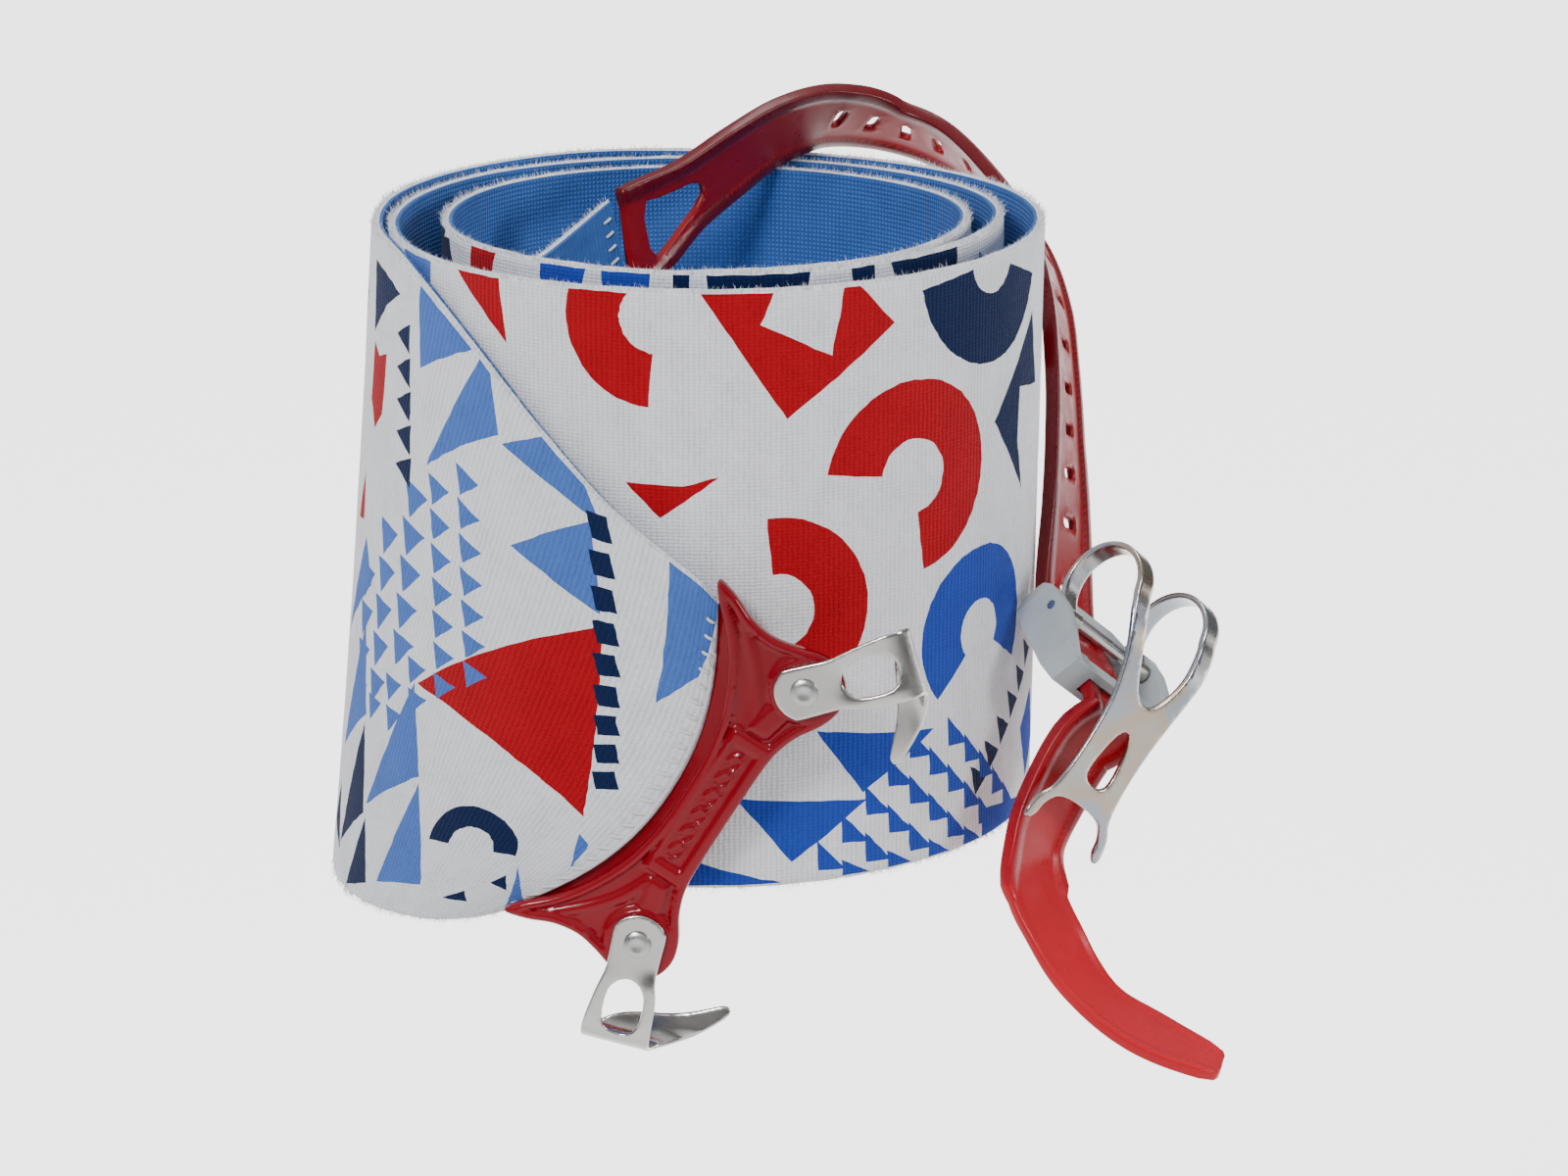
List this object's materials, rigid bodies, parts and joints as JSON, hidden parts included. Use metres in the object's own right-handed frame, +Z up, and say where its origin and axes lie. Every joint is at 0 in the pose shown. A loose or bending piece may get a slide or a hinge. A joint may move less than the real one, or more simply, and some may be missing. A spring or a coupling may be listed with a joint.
{
  "type": "rolled ski climbing skin with tip and tail fittings",
  "caption": "Rolled-up climbing skin for touring skis: printed pile strip wound in a spiral, moulded tip bridge with riveted hooks, notched tail strap with slider and tail hook.",
  "frame": {"origin": "on the roll's upright axis, level with the lower edge of its inner wraps", "axes": "+Z up along the roll's axis, -Y towards the side with the tip bridge, +X towards the side with the slider and tail hook"},
  "size_m": [0.1824, 0.162, 0.176],
  "materials": {
    "pile": "short dense pile, printed",
    "backing": "plain woven backing",
    "thread": "sewing thread",
    "bridge": "clear elastomer with a gloss",
    "strap": "clear elastomer, satin",
    "steel": "polished stainless sheet",
    "grey_plastic": "moulded, fine grain"
  },
  "bodies": {
    "skin": {"skin_plush": "pile", "skin_backing": "backing", "nose_stitching": "thread", "tip_bridge": "bridge", "upper_rivet": "steel", "lower_rivet": "steel", "upper_washer": "steel", "lower_washer": "steel", "tail_strap": "strap", "tail_stitching": "thread"},
    "upper_hook": {"upper_tip_hook": "steel"},
    "lower_hook": {"lower_tip_hook": "steel"},
    "slider": {"slider": "grey_plastic", "hook_pin": "steel"},
    "tail_hook": {"tail_hook": "steel"}
  },
  "joints": [
    {"name": "upper_hook_turn", "type": "hinge", "parent": "skin", "child": "upper_hook", "pos_m": [0.01952, -0.07586, 0.04322], "axis": [-0.1045, -0.9945, 0], "range_deg": [-25, 25]},
    {"name": "lower_hook_turn", "type": "hinge", "parent": "skin", "child": "lower_hook", "pos_m": [-0.01316, -0.07242, -0.00936], "axis": [-0.1045, -0.9945, 0], "range_deg": [-25, 25]},
    {"name": "slider_travel", "type": "slide", "parent": "skin", "child": "slider", "axis": [0.2948, -0.8415, -0.4527], "range_m": [0, 0.002]},
    {"name": "tail_hook_open", "type": "hinge", "parent": "slider", "child": "tail_hook", "pos_m": [0.07988, -0.02081, 0.0361], "axis": [-0.598, -0.532, 0.5995], "range_deg": [0, 30]}
  ]
}
